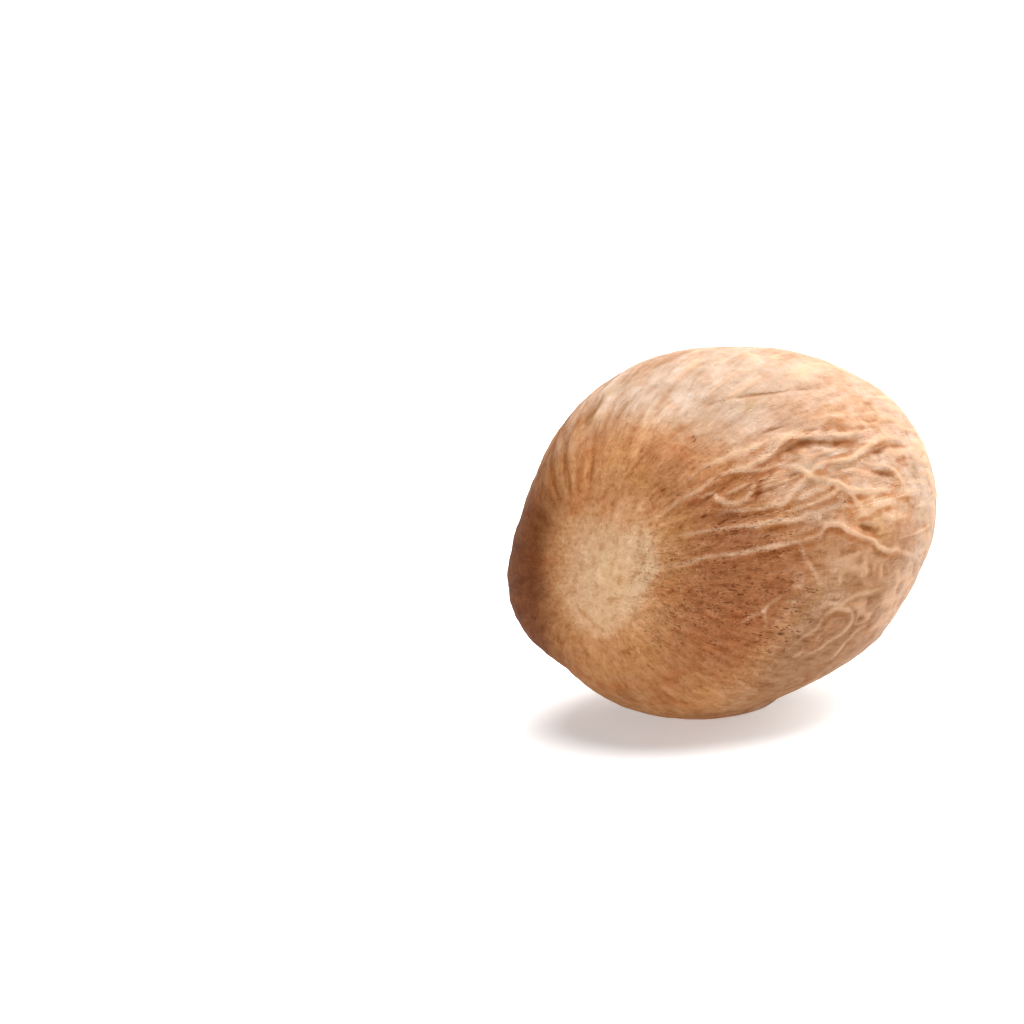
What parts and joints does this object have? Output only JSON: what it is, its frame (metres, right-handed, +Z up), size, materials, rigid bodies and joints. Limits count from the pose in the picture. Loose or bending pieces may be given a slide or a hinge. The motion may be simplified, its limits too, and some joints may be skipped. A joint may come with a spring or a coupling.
{
  "type": "whole nutmeg",
  "caption": "Whole dried nutmeg lying on its side: an oval seed with a pale scar at one end and branching ridges over the rest.",
  "frame": {"origin": "middle of the seed's box, at the level of the flat spot that it rests on", "axes": "+X along the seed's length, away from the pale scar; +Z up; -Y is the side that shows most"},
  "size_m": [0.0266, 0.0194, 0.0198],
  "materials": {
    "shell": "dry and woody, light tan on the ridges, reddish brown between them and pale cream on the scar"
  },
  "bodies": {
    "root": {"nutmeg": "shell"}
  },
  "joints": []
}
